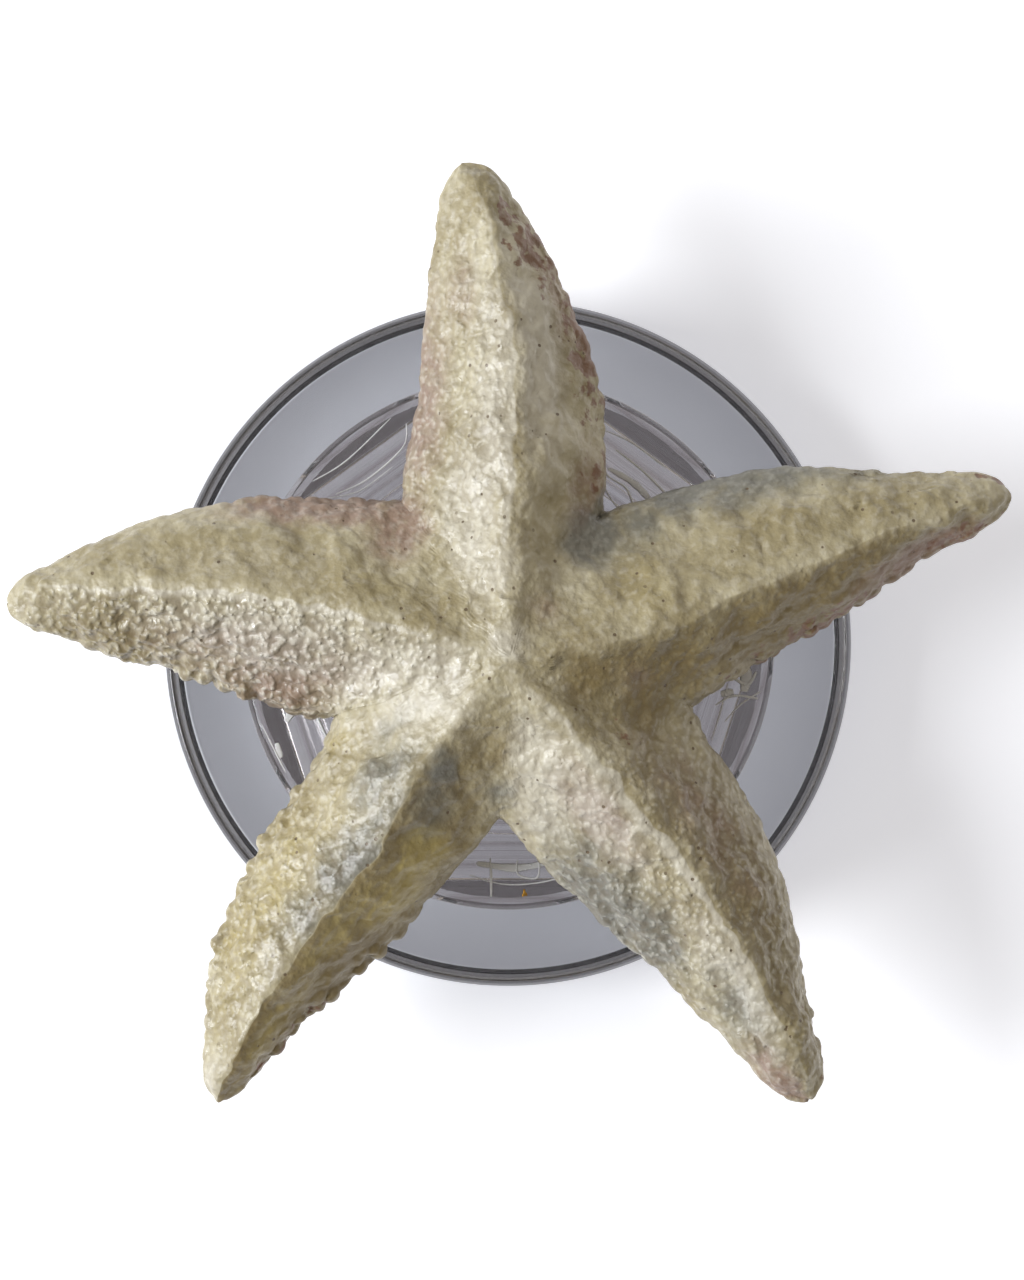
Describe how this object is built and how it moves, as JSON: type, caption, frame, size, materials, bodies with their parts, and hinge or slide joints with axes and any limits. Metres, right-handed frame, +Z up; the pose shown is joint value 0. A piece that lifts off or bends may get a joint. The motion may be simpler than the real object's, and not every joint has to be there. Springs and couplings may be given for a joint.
{
  "type": "dried starfish on a clear stand",
  "caption": "Dried, varnished starfish with keeled, granular arms, glued flat on a clear round display stand made of a riser and a ridged foot.",
  "frame": {"origin": "centre of the stand's underside, on the surface it stands on", "axes": "+Z up through the stand, +Y close to the first arm's direction, +X to the right seen from above"},
  "size_m": [0.105, 0.0985, 0.0352],
  "materials": {
    "foot_plastic": "clear, faintly grey-blue, polished",
    "riser_plastic": "clear, faintly grey, polished",
    "glue": "set clear glue, uneven",
    "dried_starfish": "granular, cream to olive with grey-blue and rose washes, glossy varnish"
  },
  "bodies": {
    "root": {"foot": "foot_plastic", "riser": "riser_plastic", "glue_pad": "glue", "starfish": "dried_starfish"}
  },
  "joints": []
}
